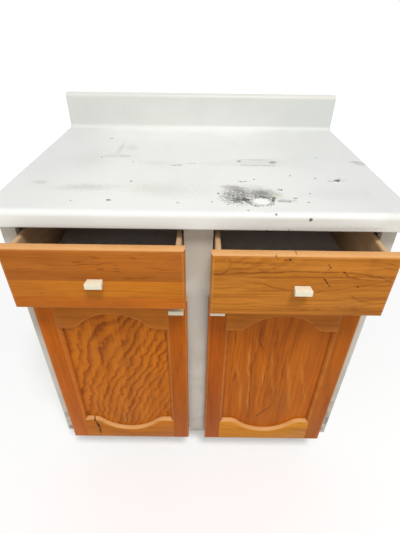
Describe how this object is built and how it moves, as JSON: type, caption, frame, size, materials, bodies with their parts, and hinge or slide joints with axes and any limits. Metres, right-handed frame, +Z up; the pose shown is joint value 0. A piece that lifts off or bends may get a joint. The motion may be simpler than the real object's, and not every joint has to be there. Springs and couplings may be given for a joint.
{
  "type": "kitchen base cabinet",
  "caption": "Face-framed kitchen base cabinet with a post-formed countertop, sliding drawers over hinged frame-and-panel doors with curved rails, and a toe recess.",
  "frame": {"origin": "on the floor, at the middle of the bounding box with the drawers pulled out as in the picture", "axes": "+X to the right along the front, +Y from the front to the wall, +Z up"},
  "size_m": [0.8704, 0.738, 1.0204],
  "materials": {
    "white_laminate": "satin white plastic laminate over a chipboard core",
    "white_paint": "wood with white paint",
    "white_melamine": "chipboard with a white melamine face",
    "honey_oak": "oak with a honey-coloured satin varnish",
    "oak_veneer": "oak-veneered plywood with a honey-coloured satin varnish",
    "birch": "bare pale wood",
    "hardboard": "brown hardboard",
    "chipboard": "bare chipboard",
    "cream_plastic": "cream, slightly glossy",
    "dark_bronze": "steel with a dark bronze finish",
    "zinc_steel": "zinc-plated sheet steel",
    "nylon": "natural white nylon"
  },
  "bodies": {
    "cabinet": {"countertop": "white_laminate", "left_end_cap": "white_laminate", "right_end_cap": "white_laminate", "rear_batten": "chipboard", "left_batten": "chipboard", "right_batten": "chipboard", "left_side_panel": "white_melamine", "right_side_panel": "white_melamine", "bottom_panel": "white_melamine", "back_panel": "hardboard", "toe_kick_board": "white_melamine", "top_stretcher": "chipboard", "back_nailer": "chipboard", "shelf": "white_melamine", "left_stile": "white_paint", "centre_stile": "white_paint", "right_stile": "white_paint", "left_mid_rail": "white_paint", "right_mid_rail": "white_paint", "bottom_rail": "white_paint", "left_drawer_track": "zinc_steel", "right_drawer_track": "zinc_steel", "left_door_upper_hinge_frame_leaf": "dark_bronze", "left_door_upper_hinge_pin": "dark_bronze", "left_door_lower_hinge_frame_leaf": "dark_bronze", "left_door_lower_hinge_pin": "dark_bronze", "right_door_upper_hinge_frame_leaf": "dark_bronze", "right_door_upper_hinge_pin": "dark_bronze", "right_door_lower_hinge_frame_leaf": "dark_bronze", "right_door_lower_hinge_pin": "dark_bronze"},
    "left_drawer": {"left_drawer_front": "honey_oak", "left_drawer_left_side": "birch", "left_drawer_right_side": "birch", "left_drawer_back": "birch", "left_drawer_bottom": "hardboard", "left_drawer_guide": "nylon", "left_drawer_knob": "cream_plastic"},
    "right_drawer": {"right_drawer_front": "honey_oak", "right_drawer_left_side": "birch", "right_drawer_right_side": "birch", "right_drawer_back": "birch", "right_drawer_bottom": "hardboard", "right_drawer_guide": "nylon", "right_drawer_knob": "cream_plastic"},
    "left_door": {"left_door_hinge_stile": "honey_oak", "left_door_lock_stile": "honey_oak", "left_door_top_rail": "honey_oak", "left_door_bottom_rail": "honey_oak", "left_door_panel": "oak_veneer", "left_door_knob": "cream_plastic", "left_door_upper_hinge_door_leaf": "dark_bronze", "left_door_lower_hinge_door_leaf": "dark_bronze"},
    "right_door": {"right_door_hinge_stile": "honey_oak", "right_door_lock_stile": "honey_oak", "right_door_top_rail": "honey_oak", "right_door_bottom_rail": "honey_oak", "right_door_panel": "oak_veneer", "right_door_knob": "cream_plastic", "right_door_upper_hinge_door_leaf": "dark_bronze", "right_door_lower_hinge_door_leaf": "dark_bronze"}
  },
  "joints": [
    {"name": "left_drawer_slide", "type": "slide", "parent": "cabinet", "child": "left_drawer", "axis": [0, -1, 0], "range_m": [-0.062, 0.318]},
    {"name": "right_drawer_slide", "type": "slide", "parent": "cabinet", "child": "right_drawer", "axis": [0, -1, 0], "range_m": [-0.075, 0.305]},
    {"name": "left_door_hinge", "type": "hinge", "parent": "cabinet", "child": "left_door", "pos_m": [-0.397, -0.25655, 0.39477], "axis": [0, 0, -1], "range_deg": [0, 110]},
    {"name": "right_door_hinge", "type": "hinge", "parent": "cabinet", "child": "right_door", "pos_m": [0.397, -0.25655, 0.39477], "axis": [0, 0, 1], "range_deg": [0, 110]}
  ]
}
